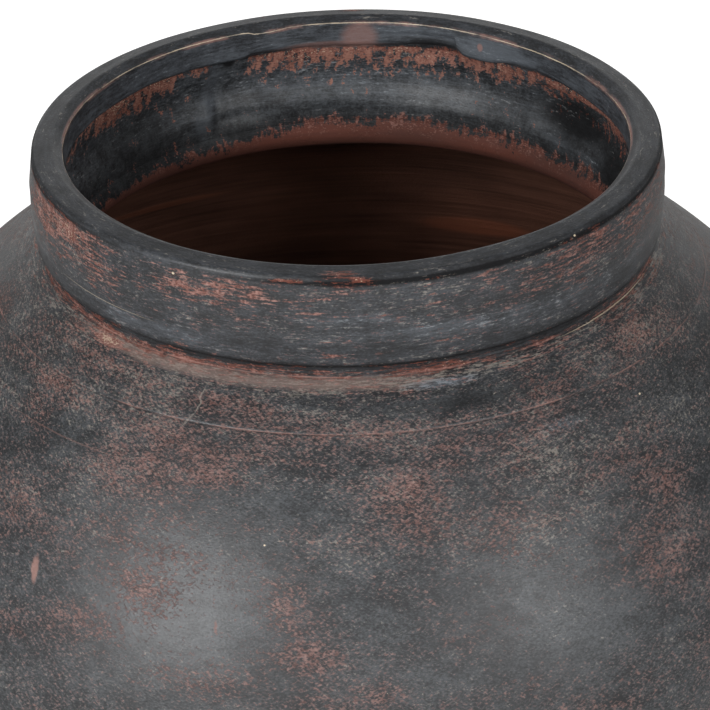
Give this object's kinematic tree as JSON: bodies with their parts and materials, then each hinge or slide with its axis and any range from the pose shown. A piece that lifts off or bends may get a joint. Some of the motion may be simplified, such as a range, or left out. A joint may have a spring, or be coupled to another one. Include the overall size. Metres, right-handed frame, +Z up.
{
  "type": "hydria jar",
  "caption": "Wide-mouthed round-bellied terracotta water jar with an upright collar, a flat-topped lip and a recessed band at the neck, painted dark outside.",
  "frame": {"origin": "centre of the flat base, on the surface that the jar stands on", "axes": "+Z up along the jar's axis of revolution, -Y towards the pictured side"},
  "size_m": [0.47, 0.47, 0.5],
  "materials": {
    "painted_terracotta": "matt charcoal paint, sanded back to the clay in patches",
    "bare_terracotta": "bare fired clay, matt, with finger marks and trimming streaks"
  },
  "bodies": {
    "root": {"base_disc": "painted_terracotta", "base_seam_coil": "bare_terracotta", "lower_body": "painted_terracotta", "belly_seam_coil": "bare_terracotta", "shoulder": "painted_terracotta", "neck_seam_coil": "bare_terracotta", "neck_collar": "painted_terracotta", "rim": "painted_terracotta"}
  },
  "joints": []
}
